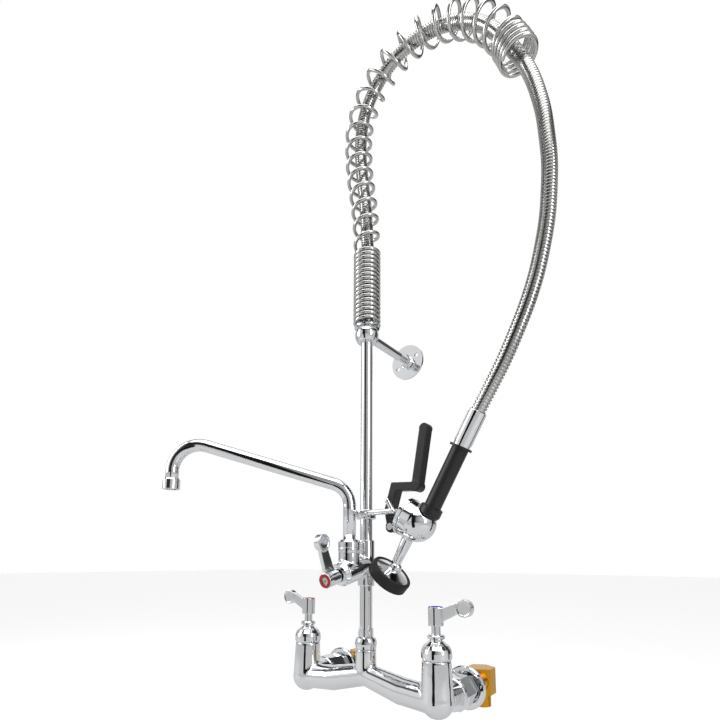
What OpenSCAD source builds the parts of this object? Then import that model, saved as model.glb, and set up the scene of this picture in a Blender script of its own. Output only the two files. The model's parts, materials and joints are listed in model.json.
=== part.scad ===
// Wall mounted pre rinse faucet with an add-on swing spout.
// X runs from the hot valve to the cold valve, +Y goes into the wall, +Z is up.
// The origin is the middle of the backsplash face, level with the two inlets.

/* [Layout] */
// Distance between the two valve axes
valve_spacing = 203.2; // [180:0.1:240]
// Distance from the backsplash face forward to the valves and the riser
setback = 78; // [76:1:95]
// Distance from the backsplash face back to the wall that takes the upper bracket
wall_depth = 36; // [20:1:60]
// Height of the riser's top end above the inlets
riser_top = 467; // [420:1:600]
// Height of the add-on faucet's lower end above the inlets
tee_z = 126; // [110:1:150]

/* [Base casting] */
// Radius of a valve barrel at its round bottom
barrel_r = 19.5; // [18.5:0.1:21]
// Radius of a valve barrel at its open top
barrel_top_r = 17; // [16:0.1:18]
// Height of a valve barrel's top face
barrel_top = 46.5; // [42:0.5:52]
// Radius of the two arms that carry water to the middle
arm_r = 16; // [14:0.1:17]
// Height of the arms' meeting point
arm_rise = 15.5; // [12:0.5:18]
// Radius of the middle hub
hub_r = 13.5; // [13:0.1:15]
// Height of the middle hub's top face
hub_top = 47.5; // [44:0.5:52]
// Radius of the bore that takes a valve cartridge
bore_r = 12; // [11.5:0.1:13]

/* [Riser] */
// Outer radius of the riser pipe
riser_r = 8.25; // [7.5:0.05:9]
// Wall of the riser pipe
riser_wall = 2.2; // [1.6:0.1:3]
// Depth of every pipe socket
socket = 18; // [12:0.5:22]

/* [Valve parts] */
// Radius of the stem where it turns in its cartridge
stem_r = 3.55; // [3:0.05:4]
// Running clearance of the stem on its radius
stem_gap = 0.05; // [0.02:0.01:0.1]
// Radius of the lever's hub
lever_hub_r = 9.1; // [8.5:0.1:10]
// Height of the lever's hub
lever_hub_h = 21.5; // [19:0.5:24]
// Radius of the coin shaped finger pad
pad_r = 10; // [8:0.5:12]
// Reach of the two base levers from their axis
base_reach = 36.8; // [32:0.1:42]
// Reach of the add-on faucet's lever from its axis
addon_reach = 45.4; // [38:0.1:50]

/* [Add-on faucet] */
// Angle that the add-on valve points below the horizontal
addon_droop = 14; // [8:1:18]
// Distance from the riser to the add-on valve's front face
addon_len = 54; // [52:0.5:60]
// Radius of the add-on valve's barrel
addon_r = 15.5; // [14.5:0.1:17]
// Distance from the riser forward to the spout's axis
outlet_y = 36.5; // [34:0.5:40]
// Radius of the spout's outlet barrel
outlet_r = 13.8; // [13.8:0.1:15]

/* [Swing spout] */
// Outer radius of the spout tube
spout_r = 8.3; // [7.5:0.05:8.6]
// Height of the spout's lower bend above the outlet barrel's nut
spout_rise = 66; // [60:1:90]
// Horizontal reach of the spout from its axis to its nozzle
spout_reach = 234.5; // [180:0.5:260]
// Angle that the spout's long run climbs
spout_climb = 16.6; // [10:0.1:20]
// Angle of the spout at rest, turned from straight ahead towards the hot side
spout_rest = 55; // [30:1:80]

/* [Spray valve] */
// Lean of the spray valve's grip from the vertical
valve_tilt = 29.7; // [26:0.1:33]
// Length of the grip sleeve
grip_len = 96; // [90:1:104]
// Radius of the grip sleeve
grip_r = 10.5; // [10:0.1:12]
// Radius of the drum that holds the valve
drum_r = 24; // [23:0.5:26]
// Outer radius of the rubber bumper
bumper_r = 28; // [27:0.5:30]
// Depth of the rubber bumper
bumper_h = 15; // [13:0.5:18]

/* [Hose and spring] */
// Outer radius of the hose
hose_r = 9.1; // [8.5:0.1:9.4]
// Radius of the spring's wire
wire_r = 2.6; // [2:0.1:3]
// Mean radius of the spring's coils at its close coiled foot
coil_foot_r = 17.2; // [16.8:0.1:18]
// Mean radius of the spring's coils at its free end
coil_end_r = 22.2; // [21.8:0.1:23]
// Pitch of the close coils at the spring's foot
foot_pitch = 6.7; // [6.2:0.1:7]

/* [Hidden] */
$fn = 64;
row_half = valve_spacing / 2;
tee_h = 60;
tee_top = tee_z + tee_h;
fit = 0.2;

// Valve chamber: the washer seats on its floor and the cartridge stands on the washer
seat_z = 8;
seat_t = 2;
seat_hole_r = 6;
skirt_h = 8;
cart_r = bore_r - 0.6;
cart_neck_r = 8.5;
stem_hole_r = stem_r + stem_gap;
base_cart_depth = barrel_top - seat_z - seat_t;
addon_cart_depth = 30;
bonnet_h = 20;
bonnet_r = 18;
low_bonnet_h = 5;
gland_r = 10.2;
gland_h = 7.3;
low_gland_h = 3;
stem_step_r = 5.4;
base_hub_z = bonnet_h + gland_h + 10.2;
addon_hub_z = low_bonnet_h + low_gland_h + 1.8;
stem_in_lever = 12;
screw_web = 16;
screw_r = 2;
screw_head_r = 4.2;
index_r = 8.2;
index_hole_r = 4.7;
index_t = 1.2;
index_sink = 0.8;
pad_t = 8.5;
arm_t = 5;

// Inlets, counted from the backsplash face forward
neck_r = 13.2;
neck_end = 32;
neck_bore_r = 7;
union_t = 2;
union_flange_t = 4;
nut_front = 45;
nut_back = 14;
nut_corner_r = 21.5;
nut_rim_r = 19.7;
nipple_r = 10.4;
nipple_bore_r = 7.6;
locknut_t = 6;
locknut_corner_r = 16.5;
wall_flange_r = 26.7;
wall_flange_t = 5;
panel_t = 3;
elbow_y = 50;
elbow_r = 14.5;
elbow_hex_r = 19;
elbow_hex_h = 33;
elbow_leg_r = 12;
elbow_drop = 32.5;
elbow_thread_r = 9.5;
thread_len = 15;

// Riser fittings
pipe_bore_r = riser_r - riser_wall;
pipe_foot = 40;
gasket_r = 10.5;
gasket_h = 3;
hub_nut_r = 14.3;
hub_nut_h = 15;
hub_sleeve_r = 9.7;
hub_sleeve_h = 10;
tee_r = 11;
collar_r = 17;
collar_half = 11;
collar_z = riser_top + 10;
hose_foot = collar_z + collar_half + 3;
hose_seat_r = 18;

// Add-on faucet
addon_z = tee_z + 29.3;
outlet_drop = outlet_y * tan(addon_droop);
outlet_top = tee_top - 10.5;
outlet_bore_r = spout_r + 0.05;
nut_r = 14.3;
nut_h = 9.5;
skirt_r = 12.2;
skirt_depth = 5;
shoulder_r = 10.4;
shoulder_h = 3;
spout_foot_z = outlet_top - 15.5;
spout_start = 3;
spout_sides = 32;
ring_z = [2.2, 7];
ring_groove_r = 7;
ring_groove_h = 1.9;
ring_r = (spout_r - ring_groove_r) / 2;

// Spout: straight up, a bend, a climbing run, a gooseneck and the nozzle
spout_bore_r = spout_r - 2;
bend_turn = 90 - spout_climb;
bend_r = 30;
neck_turn = 90 + spout_climb;
gooseneck_r = 34;
bend_z = outlet_top + nut_h + spout_rise;
bend_leg = bend_r * tan(bend_turn / 2);
run_end = spout_reach - gooseneck_r * (1 + sin(spout_climb));
run_len = run_end / cos(spout_climb) - bend_leg;
run_end_z = bend_z + run_end * tan(spout_climb);
tip_z = run_end_z - gooseneck_r * cos(spout_climb);
tip_len = 22;
nozzle_r = 11;
nozzle_h = 14;
nozzle_lip = 3;

// Wall bracket
rod_r = 6.3;
rod_end = 8;
thread_r = 5;
bracket_nut_r = 10;
bracket_nut_t = 7;
bracket_flange_r = 28.2;
bracket_flange_t = 3.5;
bracket_boss_r = 8.5;
bracket_boss_t = 5;
bracket_hole_r = 3.5;
bracket_pcd = 38;
bracket_turn = 26;

// Finger hook
hook_z = riser_top - 247;
hook_ring_r = 13;
hook_ring_h = 12;
hook_rod_r = 3.6;
hook_y = 20;
hook_end = 55.5;
hook_finger = [55, 16];
hook_lean = -30;
grub_r = 2.5;

// Spray valve, in a frame whose Z runs up the grip
valve_x = 92.6;
valve_z = riser_top - 255.7;
shank_r = 7;
shank_bore_r = 5;
flare_r = 14;
flare_h = 16;
grip_flange_r = 14;
grip_flange_t = 3;
ferrule_r = 11.3;
ferrule_ring_r = 10.8;
ferrule_ring_h = 4;
ferrule_len = 41;
drum_x = -30;
drum_z = -12;
drum_back = -10;
cap_r = drum_r + 1;
cap_t = 6;
plug_r = 12;
seat_x = -14;
cavity_end = 3;
plunger_r = 3.2;
poppet_r = 9;
poppet_gap = 0.3;
stub_r = 5;
plunger_tip = 45.55;
poppet_t = 2.8;
coil_r = 6;
coil_wire_r = 0.5;
coil_turns = 3;
pivot_x = -37.8;
pivot_z = -32.3;
pivot_r = 2.5;
lug_r = 6.5;
lug_t = 4.5;
lever_t = 8;
handle_t = 6.5;
handle_w = 12.5;
limb_w = 10.5;
pivot_head_r = 4.4;
lever_path = [[-52, -16], [-59, 15], [-31, 28.5], [-56, 98]];
neck_x = -12.3;
neck_top = -28;
neck_low = -76;
neck_r1 = 5.7;
neck_r2 = 8;
head_x = -11.5;
head_z = -81.5;
head_lean = 14;
dish_r = 23.5;
dish_t = 2.2;
dish_rise = 5.5;
face_r = 21;
face_t = 2.5;
face_sink = 12;
jet_r = 1.1;

// Hose centre line in the riser's plane: across from the riser, and above the riser's top
hose_route = [[0, 24], [0, 80], [1, 140], [-3, 213], [-10, 276], [-13, 325], [-8, 370],
    [8, 405], [35, 432], [68, 446], [103, 446], [136, 436], [170, 412], [193, 386],
    [211, 356], [225, 326], [237, 298], [246, 269], [252, 240], [256, 213], [258, 182],
    [259, 149], [257, 116], [253, 80], [246, 46], [237, 13], [225, -19], [210, -51],
    [195, -80], [180, -105]];
// Spring centre line in the same plane, from the top of its close coiled foot
spring_route = [[0, 137], [-1, 165], [-3, 193], [-6, 220], [-10, 248], [-14, 275],
    [-16, 303], [-17, 331], [-15, 358], [-6, 385], [8, 409], [28, 428], [52, 442], [79, 449],
    [106, 448], [133, 441], [157, 427], [178, 409], [196, 387], [210, 363], [221, 338]];
spring_tail = [[221, 338], [227, 323], [232, 308]];
open_turns = 20;
tail_turns = 4;
wire_sides = 6;
wire_steps = 12;
hose_sides = 10;
hose_steps = 2;

// Places

module at_valve(side) {
    translate([side * row_half, -setback, barrel_top])
        rotate([0, 0, side > 0 ? 0 : 180])
            children();
}

module at_inlet(side) {
    translate([side * row_half, 0, 0])
        rotate([-90, 0, 0])
            children();
}

module both_inlets() {
    for (side = [-1, 1])
        at_inlet(side)
            children();
}

module at_addon() {
    translate([0, -setback, addon_z])
        rotate([90 + addon_droop, 0, 0])
            children();
}

module at_addon_face() {
    at_addon()
        translate([0, 0, addon_len])
            rotate([0, 0, 90])
                children();
}

module at_spout() {
    translate([0, -setback - outlet_y, 0])
        rotate([0, 0, -90 - spout_rest])
            children();
}

module at_spray() {
    translate([valve_x, -setback, valve_z])
        rotate([0, valve_tilt, 0])
            children();
}

module at_head() {
    at_spray()
        translate([head_x, 0, head_z])
            rotate([0, head_lean, 0])
                children();
}

// Simple shapes

module tube(r, bore, z1, z2) {
    translate([0, 0, z1])
        difference() {
            cylinder(r = r, h = z2 - z1);
            translate([0, 0, -1])
                cylinder(r = bore, h = z2 - z1 + 2);
        }
}

module rod(r, z1, z2) {
    translate([0, 0, z1])
        cylinder(r = r, h = z2 - z1);
}

module cone(r1, r2, z1, z2) {
    translate([0, 0, z1])
        cylinder(r1 = r1, r2 = r2, h = z2 - z1);
}

module hexagon(corner_r, z1, z2) {
    translate([0, 0, z1])
        cylinder(r = corner_r, h = z2 - z1, $fn = 6);
}

// A rod from one point to another, both in the XZ plane
module strut(p, q, r1, r2) {
    d = q - p;
    translate([p[0], 0, p[1]])
        rotate([0, atan2(d[0], d[1]), 0])
            rotate(37)
                cylinder(r1 = r1, r2 = r2, h = norm(d));
}

// A flat bar with round ends
module bar(p, q, w) {
    d = q - p;
    translate(p)
        rotate(atan2(d[1], d[0]))
            translate([0, -w / 2])
                square([norm(d), w]);
    translate(p)
        circle(d = w);
    translate(q)
        circle(d = w);
}

// Base casting

arm_knee = [row_half * 0.52, arm_rise * 0.26];
arm_end = [row_half, 0];
arm_middle = [0, arm_rise];

// Point a few millimetres beyond q on the way from p
function past(p, q, d) = q + d * (q - p) / norm(q - p);

module arm_half() {
    strut(arm_end, past(arm_end, arm_knee, 3), arm_r, arm_r);
    strut(past(arm_middle, arm_knee, 3), past(arm_knee, arm_middle, 4), arm_r + 0.3, hub_r + 0.2);
}

module barrel() {
    difference() {
        rotate(25)
            sphere(r = barrel_r);
        translate([0, 0, -barrel_r - 9.7])
            cylinder(r = 12, h = 10);
    }
    cone(barrel_r - 0.3, barrel_top_r, 2, barrel_top);
}

module barrel_waterway() {
    rod(bore_r, seat_z, barrel_top + 1);
    rod(seat_hole_r, 0, seat_z + 1);
}

module arm_waterway() {
    bend = [arm_knee[0], arm_knee[1] + 1];
    start = [row_half - 6, 12];
    strut(start, past(start, bend, 2), 5.5, 5.5);
    strut(bend, past(bend, arm_middle, 1.5), 5.7, 5.7);
}

module base_body() {
    color("silver")
        difference() {
            union() {
                translate([0, -setback, 0]) {
                    arm_half();
                    mirror([1, 0, 0])
                        arm_half();
                    rod(hub_r, arm_rise, hub_top);
                }
                for (side = [-1, 1])
                    translate([side * row_half, -setback, 0]) {
                        barrel();
                        rotate([-90, 37, 0])
                            rod(neck_r, 0, setback - neck_end);
                    }
            }
            translate([0, -setback, 0]) {
                arm_waterway();
                mirror([1, 0, 0])
                    arm_waterway();
                rod(pipe_bore_r, arm_rise - 2, hub_top);
                rod(riser_r, pipe_foot, hub_top + 1);
                rod(gasket_r, hub_top - gasket_h, hub_top + 1);
            }
            for (side = [-1, 1])
                translate([side * row_half, -setback, 0]) {
                    barrel_waterway();
                    rotate([-90, 0, 0])
                        rod(neck_bore_r, 0, setback - neck_end + 1);
                }
        }
}

// Valve parts: Z = 0 is the barrel's open face

module seat_washers() {
    color("dimgray") {
        for (side = [-1, 1])
            at_valve(side)
                tube(bore_r - fit, seat_hole_r, -base_cart_depth - seat_t, -base_cart_depth);
        at_addon_face()
            tube(bore_r - fit, seat_hole_r, -addon_cart_depth - seat_t, -addon_cart_depth);
    }
}

module dome_bonnet() {
    color("silver")
        difference() {
            union() {
                rotate_extrude()
                    polygon([[0, 0], [bonnet_r - 1, 0], [bonnet_r, 2], [bonnet_r, 8],
                        [bonnet_r - 1, 12], [bonnet_r - 3.5, 16], [bonnet_r - 7.5, 18.6],
                        [bonnet_r - 9, bonnet_h], [0, bonnet_h]]);
                rod(bore_r, -skirt_h, 1);
            }
            rod(cart_neck_r, -skirt_h - 1, bonnet_h + 1);
        }
}

module low_bonnet() {
    top = low_bonnet_h + low_gland_h;
    color("silver")
        difference() {
            union() {
                cone(addon_r - 1, addon_r - 3, 0, low_bonnet_h);
                rod(gland_r, low_bonnet_h - 1, top);
                rod(bore_r, -skirt_h, 1);
            }
            rod(cart_neck_r, -skirt_h - 1, low_bonnet_h);
            rod(stem_hole_r, low_bonnet_h - 1, top + 1);
        }
}

module cartridge(depth, top) {
    color("goldenrod")
        difference() {
            union() {
                rod(cart_r, -depth, -skirt_h);
                rod(cart_neck_r, -skirt_h - 1, top);
            }
            rod(stem_hole_r, -depth - 1, top + 1);
            rod(seat_hole_r, -depth - 1, -depth + 5);
            translate([0, 0, -depth + 5])
                rotate([90, 0, 0])
                    cylinder(r = 3, h = 4 * bore_r, center = true);
        }
}

module gland_nut(z, h) {
    color("silver")
        difference() {
            union() {
                rod(7.6, z, z + h);
                cone(gland_r - 0.8, gland_r, z + h - 4.5, z + h - 3.4);
                rod(gland_r, z + h - 3.4, z + h - 1.1);
                cone(gland_r, gland_r - 1, z + h - 1.1, z + h);
            }
            rod(stem_hole_r, z - 1, z + h + 1);
        }
}

module stem(depth, step_z, hub_z) {
    color("gold")
        difference() {
            union() {
                rod(stem_r, -depth + 7, hub_z + stem_in_lever);
                rod(stem_step_r, step_z + fit, hub_z);
            }
            rod(screw_r, hub_z + 4, hub_z + stem_in_lever + 1);
        }
}

// Lever: the arm leaves its hub along X and ends in a coin shaped pad that stands on edge
module lever(hub_z, reach, pad_z) {
    pad_low = pad_z - 6.5;
    pad_high = pad_z + 6.5;
    color("silver")
        translate([0, 0, hub_z])
            difference() {
                union() {
                    rod(lever_hub_r, 0, lever_hub_h);
                    rotate([90, 0, 0])
                        linear_extrude(height = arm_t, center = true)
                            polygon([[4, 2.5], [4, 20], [lever_hub_r, 20.5],
                                [reach - pad_r + 2, pad_high], [reach - 2, pad_high - 1],
                                [reach - 2, pad_low + 1], [reach - pad_r + 2, pad_low]]);
                    translate([reach, 0, pad_z])
                        rotate([90, 0, 0])
                            cylinder(r = pad_r, h = pad_t, center = true);
                }
                for (flip = [-1, 1])
                    translate([reach, flip * pad_t / 2, pad_z])
                        rotate([90, 0, 0])
                            cylinder(r = pad_r - 2, h = 1.6, center = true);
                rod(stem_r, -1, stem_in_lever);
                rod(screw_r, stem_in_lever - 1, screw_web + 1);
                rod(screw_head_r + fit, screw_web, lever_hub_h + 1);
                rod(index_r, lever_hub_h - index_sink, lever_hub_h + 1);
            }
}

module index_ring(hub_z) {
    z = hub_z + lever_hub_h - index_sink;
    tube(index_r, index_hole_r, z, z + index_t);
}

module lever_screw(hub_z) {
    head = lever_hub_h - screw_web - 1;
    color("gainsboro")
        translate([0, 0, hub_z])
            difference() {
                union() {
                    rod(screw_r, 5, screw_web + 1);
                    rod(screw_head_r, screw_web, screw_web + head);
                }
                for (turn = [0, 90])
                    rotate(turn)
                        translate([0, 0, screw_web + head])
                            cube([5, 1.1, 3], center = true);
            }
}

// Inlets: Z = 0 is the backsplash face and +Z goes into the wall

module union_washers() {
    color("dimgray")
        both_inlets()
            tube(neck_r - 0.7, neck_bore_r, -neck_end, -neck_end + union_t);
}

module coupling_nut() {
    shoulder = -neck_end + union_t + union_flange_t;
    color("silver")
        difference() {
            union() {
                cone(nut_rim_r - 1, nut_rim_r, -nut_front, -nut_front + 1.5);
                rod(nut_rim_r, -nut_front + 1.5, -nut_front + 6);
                intersection() {
                    hexagon(nut_corner_r, -nut_front + 4, -nut_back);
                    cone(nut_corner_r + 3.5, nut_corner_r - 0.8, -nut_front + 4, -nut_back);
                }
            }
            rod(neck_r, -nut_front - 1, shoulder);
            rod(nipple_r + fit, shoulder - 1, -nut_back + 1);
        }
}

module nipple() {
    start = -neck_end + union_t;
    color("silver")
        difference() {
            union() {
                rod(neck_r - fit, start, start + union_flange_t);
                rod(nipple_r, start, elbow_y - 20);
            }
            rod(nipple_bore_r, start - 1, elbow_y);
        }
}

module inlet_locknut() {
    top = -wall_flange_t + 1;
    color("silver")
        difference() {
            hexagon(locknut_corner_r, top - locknut_t, top);
            rod(nipple_r, top - locknut_t - 1, top + 1);
        }
}

module wall_flange() {
    t = wall_flange_t;
    color("silver")
        rotate_extrude()
            polygon([[nipple_r + fit, 0], [wall_flange_r, 0], [wall_flange_r, -t + 2],
                [wall_flange_r - 1.5, -t + 0.6], [wall_flange_r - 5, -t], [20, -t],
                [19, -t + 1], [nipple_r + fit, -t + 1]]);
}

module elbow() {
    color("goldenrod")
        difference() {
            union() {
                rod(elbow_r, panel_t, elbow_y);
                translate([0, 0, elbow_y])
                    rotate([90, 0, 0]) {
                        rotate(30)
                            hexagon(elbow_hex_r, -elbow_hex_h / 2, elbow_hex_h / 2);
                        rod(elbow_leg_r, -elbow_drop, 0);
                    }
            }
            rod(nipple_r, panel_t - 1, elbow_y - 20);
            rod(nipple_bore_r, panel_t, elbow_y);
            translate([0, 0, elbow_y])
                rotate([90, 0, 0]) {
                    rod(nipple_bore_r, -elbow_drop, 0);
                    rod(elbow_thread_r, -elbow_drop - 1, -elbow_drop + thread_len);
                }
        }
}

// Riser

module at_riser() {
    translate([0, -setback, 0])
        children();
}

module hub_nut() {
    color("silver")
        at_riser()
            difference() {
                union() {
                    rod(hub_nut_r - 0.8, hub_top, hub_top + 4);
                    translate([0, 0, hub_top + 3.5])
                        rotate_extrude()
                            polygon([[0, 0], [hub_nut_r - 0.5, 0], [hub_nut_r, 2.5],
                                [hub_nut_r - 0.3, 6], [hub_nut_r - 1.8, 9.5],
                                [hub_sleeve_r, hub_nut_h - 3.5], [0, hub_nut_h - 3.5]]);
                    rod(hub_sleeve_r, hub_top, hub_top + hub_nut_h + hub_sleeve_h);
                }
                rod(riser_r, hub_top - 1, hub_top + hub_nut_h + hub_sleeve_h + 1);
            }
}

module riser_gasket() {
    color("dimgray")
        at_riser()
            tube(gasket_r, riser_r, hub_top - gasket_h, hub_top);
}

module riser_lower() {
    color("silver")
        at_riser()
            tube(riser_r, pipe_bore_r, pipe_foot, tee_z + socket);
}

module riser_upper() {
    color("silver")
        at_riser()
            tube(riser_r, pipe_bore_r, tee_top - socket, riser_top + socket / 2);
}

// The collar joins the riser, the hose and the wall bracket's rod
module riser_collar() {
    color("silver")
        at_riser()
            difference() {
                intersection() {
                    translate([0, 0, collar_z])
                        sphere(r = collar_r);
                    rod(collar_r + 1, collar_z - collar_half, collar_z + collar_half);
                }
                rod(riser_r, collar_z - collar_half - 1, riser_top + socket / 2);
                rod(pipe_bore_r, riser_top, collar_z + collar_half + 1);
                translate([0, 0, collar_z])
                    rotate([-90, 0, 0])
                        rod(rod_r, 10.5, collar_r + 1);
            }
}

module bracket_rod() {
    color("silver")
        translate([0, 0, collar_z])
            rotate([-90, 0, 0]) {
                rod(rod_r, -setback + 10.5, rod_end);
                rod(thread_r, rod_end - 1, wall_depth - bracket_flange_t);
            }
}

module bracket_locknut() {
    back = wall_depth - bracket_flange_t - bracket_boss_t;
    color("silver")
        translate([0, 0, collar_z])
            rotate([-90, 0, 0])
                difference() {
                    hexagon(bracket_nut_r, back - bracket_nut_t, back);
                    rod(thread_r, back - bracket_nut_t - 1, back + 1);
                }
}

module bracket_flange() {
    plate = wall_depth - bracket_flange_t;
    color("silver")
        translate([0, 0, collar_z])
            rotate([-90, 0, 0])
                difference() {
                    union() {
                        rod(bracket_flange_r, plate, wall_depth);
                        cone(bracket_boss_r, bracket_boss_r + 2, plate - bracket_boss_t, plate);
                    }
                    rod(thread_r, plate - bracket_boss_t - 1, plate);
                    for (half = [0, 180])
                        rotate(half - bracket_turn)
                            translate([bracket_pcd / 2, 0, 0])
                                rod(bracket_hole_r, plate - 1, wall_depth + 1);
                }
}

// Add-on faucet

module addon_body() {
    color("silver")
        difference() {
            union() {
                at_riser()
                    rod(tee_r, tee_z, tee_top);
                at_addon() {
                    cone(tee_r - 0.5, addon_r, 0, addon_len - 27);
                    rod(addon_r, addon_len - 27, addon_len);
                }
                translate([0, -setback - outlet_y, 0]) {
                    rod(outlet_r, addon_z - outlet_drop, outlet_top - skirt_depth);
                    rod(outlet_r + 0.4, outlet_top - skirt_depth, outlet_top);
                }
            }
            at_riser() {
                rod(riser_r, tee_z - 1, tee_z + socket);
                rod(pipe_bore_r, tee_z, tee_top);
                rod(riser_r, tee_top - socket, tee_top + 1);
            }
            at_addon() {
                rod(bore_r, addon_len - addon_cart_depth - seat_t, addon_len + 1);
                rod(5, 0, addon_len - 20);
            }
            translate([0, -setback - outlet_y, 0]) {
                rod(outlet_bore_r, addon_z - outlet_drop, outlet_top + 1);
                rod(skirt_r, outlet_top - skirt_depth, outlet_top + 1);
            }
        }
}

module spout_nut() {
    color("silver")
        translate([0, -setback - outlet_y, outlet_top])
            difference() {
                union() {
                    rod(nut_r, 0, nut_h - 3);
                    cone(nut_r, nut_r - 2.5, nut_h - 3, nut_h);
                    rod(skirt_r, -skirt_depth, 1);
                }
                rod(outlet_bore_r, -1, nut_h + 1);
                rod(shoulder_r + fit, -skirt_depth - 1, 0);
            }
}

module spout_foot() {
    color("silver")
        at_spout()
            difference() {
                union() {
                    rod(spout_r, spout_foot_z, outlet_top + spout_start);
                    rod(shoulder_r, outlet_top - fit - shoulder_h, outlet_top - fit);
                }
                rod(spout_bore_r, spout_foot_z - 1, outlet_top + spout_start + 1);
                for (z = ring_z)
                    tube(spout_r + 1, ring_groove_r, spout_foot_z + z - ring_groove_h / 2,
                        spout_foot_z + z + ring_groove_h / 2);
            }
}

// Centre and turn of the spout's sections, drawn in the XZ plane
spout_sections = concat(
    [[[0, outlet_top + spout_start], 0]],
    [for (i = [0 : 8])
        let (a = bend_turn * i / 8)
        [[bend_r * (1 - cos(a)), bend_z - bend_leg + bend_r * sin(a)], a]],
    [for (i = [0 : 12])
        let (a = bend_turn + neck_turn * i / 12)
        [[spout_reach - gooseneck_r - gooseneck_r * cos(a), tip_z + gooseneck_r * sin(a)], a]],
    [[[spout_reach, tip_z - tip_len], 180]]);

module spout_tube() {
    last = len(spout_sections) - 1;
    color("silver")
        at_spout()
            hollow_skin(
                [for (s = spout_sections) section(s[0], s[1], spout_r, spout_sides)],
                [for (i = [last : -1 : 0])
                    section(spout_sections[i][0], spout_sections[i][1], spout_bore_r,
                        spout_sides)]);
}

module spout_orings() {
    color("dimgray")
        at_spout()
            for (z = ring_z)
                translate([0, 0, spout_foot_z + z])
                    rotate_extrude()
                        translate([ring_groove_r + ring_r, 0])
                            circle(r = ring_r);
}

module spout_nozzle() {
    low = tip_z - tip_len;
    color("silver")
        at_spout()
            translate([spout_reach, 0, low])
                difference() {
                    union() {
                        rod(nozzle_r, -nozzle_lip, nozzle_h - nozzle_lip - 2);
                        cone(nozzle_r, nozzle_r - 1.5, nozzle_h - nozzle_lip - 2,
                            nozzle_h - nozzle_lip);
                    }
                    rod(spout_r, 0, nozzle_h);
                    rod(spout_bore_r, -nozzle_lip - 1, 1);
                }
}

// Finger hook

module finger_hook() {
    color("silver")
        translate([0, -setback, hook_z])
            difference() {
                union() {
                    rod(hook_ring_r, -hook_ring_h / 2, hook_ring_h / 2);
                    translate([0, -hook_y, 0]) {
                        rotate([0, 90, 0])
                            rod(hook_rod_r, 0, hook_end);
                        translate([hook_end, 0, 0])
                            sphere(r = hook_rod_r + 0.2);
                        translate([hook_finger[0], 0, 0])
                            rotate([0, hook_lean, 0]) {
                                rod(hook_rod_r - 0.3, 0, hook_finger[1]);
                                translate([0, 0, hook_finger[1]])
                                    sphere(r = hook_rod_r - 0.2);
                            }
                    }
                    rotate([90, 0, 0])
                        rod(hook_rod_r + 1.5, 0, hook_y + 4.5);
                }
                rod(riser_r, -hook_ring_h, hook_ring_h);
                rotate([90, 0, 180])
                    rod(grub_r, riser_r - 1, hook_ring_r + 1);
            }
}

module hook_set_screw() {
    color("gainsboro")
        translate([0, -setback, hook_z])
            rotate([90, 0, 180])
                difference() {
                    rod(grub_r, riser_r, hook_ring_r + 0.5);
                    hexagon(1.4, hook_ring_r - 2, hook_ring_r + 1);
                }
}

// Swept tubes

// Point on a smooth curve through four neighbours, t from 0 to 1 between the middle two
function curve(a, b, c, d, t) =
    0.5 * (2 * b + (c - a) * t + (2 * a - 5 * b + 4 * c - d) * t * t
        + (3 * b - a - 3 * c + d) * t * t * t);
function pick(route, i) = route[max(0, min(len(route) - 1, i))];
function along(route, u) =
    let (i = min(len(route) - 2, floor(u)))
    curve(pick(route, i - 1), pick(route, i), pick(route, i + 1), pick(route, i + 2), u - i);
function heading(route, u) =
    let (d = along(route, min(len(route) - 1, u + 0.02)) - along(route, max(0, u - 0.02)))
    atan2(d[0], d[1]);

// Place a section of the tube: p is its centre in the XZ plane, turned by an angle
function section(p, turn, r, sides) =
    [for (k = [0 : sides - 1])
        let (a = 360 * k / sides)
        [p[0] + r * cos(a) * cos(turn), r * sin(a), p[1] - r * cos(a) * sin(turn)]];

module skin(sections) {
    sides = len(sections[0]);
    count = len(sections);
    points = [for (s = sections) for (p = s) p];
    walls = [for (i = [0 : count - 2]) for (k = [0 : sides - 1])
        let (a = i * sides + k, b = i * sides + (k + 1) % sides)
        each [[a, a + sides, b + sides], [a, b + sides, b]]];
    first = [for (k = [0 : sides - 1]) k];
    last = [for (k = [sides - 1 : -1 : 0]) (count - 1) * sides + k];
    polyhedron(points = points, faces = concat([first], walls, [last]), convexity = 10);
}

// A tube whose outer sections run forward and whose inner sections run back
module hollow_skin(outer, inner) {
    sections = concat(outer, inner);
    sides = len(outer[0]);
    count = len(sections);
    points = [for (s = sections) for (p = s) p];
    walls = [for (i = [0 : count - 1]) for (k = [0 : sides - 1])
        let (a = i * sides + k, b = i * sides + (k + 1) % sides,
            c = ((i + 1) % count) * sides + k, d = ((i + 1) % count) * sides + (k + 1) % sides)
        each [[a, c, d], [a, d, b]]];
    polyhedron(points = points, faces = walls, convexity = 10);
}

ferrule_top = grip_len + ferrule_ring_h + ferrule_len;
hose_end = [valve_x + ferrule_top * sin(valve_tilt),
    valve_z - riser_top + ferrule_top * cos(valve_tilt)];
hose_path = concat(hose_route, [hose_end]);

module hose() {
    last = len(hose_path) - 1;
    color("gainsboro")
        translate([0, -setback, riser_top])
            skin([for (i = [0 : last * hose_steps])
                let (u = i / hose_steps,
                    turn = u == 0 ? 0 : (u == last ? valve_tilt + 180 : heading(hose_path, u)))
                section(along(hose_path, u), turn, hose_r, hose_sides)]);
}

// Wire centre: a coil of radius r turned by angle a about a centre line point
function coil_point(p, turn, r, a) =
    [p[0] + r * cos(a) * cos(turn), r * sin(a), p[1] - r * cos(a) * sin(turn)];

foot_start = hose_foot + 1 - riser_top;
foot_end = spring_route[0][1];
foot_turns = round((foot_end - foot_start) / foot_pitch);
spring_turns = foot_turns + open_turns + tail_turns;

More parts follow.
